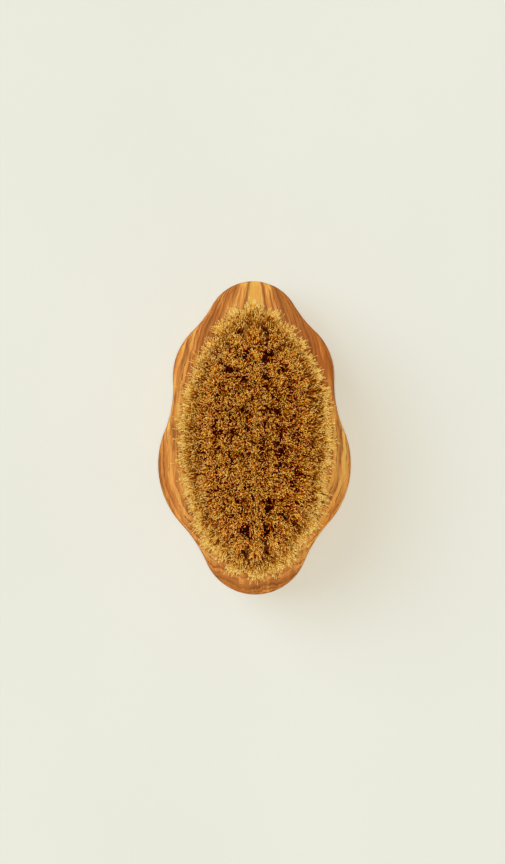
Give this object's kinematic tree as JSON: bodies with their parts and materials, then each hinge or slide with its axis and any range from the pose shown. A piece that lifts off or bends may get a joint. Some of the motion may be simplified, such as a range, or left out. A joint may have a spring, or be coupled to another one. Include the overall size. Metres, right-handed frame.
{
  "type": "body brush",
  "caption": "Palm-sized body brush: a lobed olive wood block with a rolled back, filled with a pointed oval field of stiff natural bristle tufts.",
  "frame": {"origin": "centre of the flat back of the block, which the brush rests on", "axes": "+Z from the back towards the bristle tips, +Y along the block to its narrow end, +X across it to the right as seen from the bristle side"},
  "size_m": [0.08, 0.13, 0.044],
  "materials": {
    "olive_wood": "oiled olive wood, satin, with lengthwise brown figure",
    "bristle": "natural bristle, golden tan at the tips and brown at the roots",
    "anchor_steel": "plain flat wire"
  },
  "bodies": {
    "root": {"brush_block": "olive_wood", "tuft_row_1": "bristle", "tuft_row_2": "bristle", "tuft_row_3": "bristle", "tuft_row_4": "bristle", "tuft_row_5": "bristle", "tuft_row_6": "bristle", "tuft_row_7": "bristle", "anchor_row_1": "anchor_steel", "anchor_row_2": "anchor_steel", "anchor_row_3": "anchor_steel", "anchor_row_4": "anchor_steel", "anchor_row_5": "anchor_steel", "anchor_row_6": "anchor_steel", "anchor_row_7": "anchor_steel", "tufts_oval_1_1": "bristle", "tufts_oval_1_2": "bristle", "tufts_oval_1_3": "bristle", "tufts_oval_1_4": "bristle", "tufts_oval_1_5": "bristle", "tufts_oval_1_6": "bristle", "tufts_oval_2_1": "bristle", "tufts_oval_2_2": "bristle", "tufts_oval_2_3": "bristle", "tufts_oval_2_4": "bristle", "tufts_oval_2_5": "bristle", "tufts_oval_2_6": "bristle", "tufts_oval_2_7": "bristle", "tufts_oval_2_8": "bristle", "tufts_oval_3_1": "bristle", "tufts_oval_3_2": "bristle", "tufts_oval_3_3": "bristle", "tufts_oval_3_4": "bristle", "tufts_oval_3_5": "bristle", "tufts_oval_3_6": "bristle", "tufts_oval_3_7": "bristle", "tufts_oval_3_8": "bristle", "tufts_oval_3_9": "bristle", "tufts_oval_3_10": "bristle", "tufts_oval_4_1": "bristle", "tufts_oval_4_2": "bristle", "tufts_oval_4_3": "bristle", "tufts_oval_4_4": "bristle", "tufts_oval_4_5": "bristle", "tufts_oval_4_6": "bristle", "tufts_oval_4_7": "bristle", "tufts_oval_4_8": "bristle", "tufts_oval_4_9": "bristle", "tufts_oval_4_10": "bristle", "tufts_oval_4_11": "bristle", "tufts_oval_4_12": "bristle"}
  },
  "joints": []
}
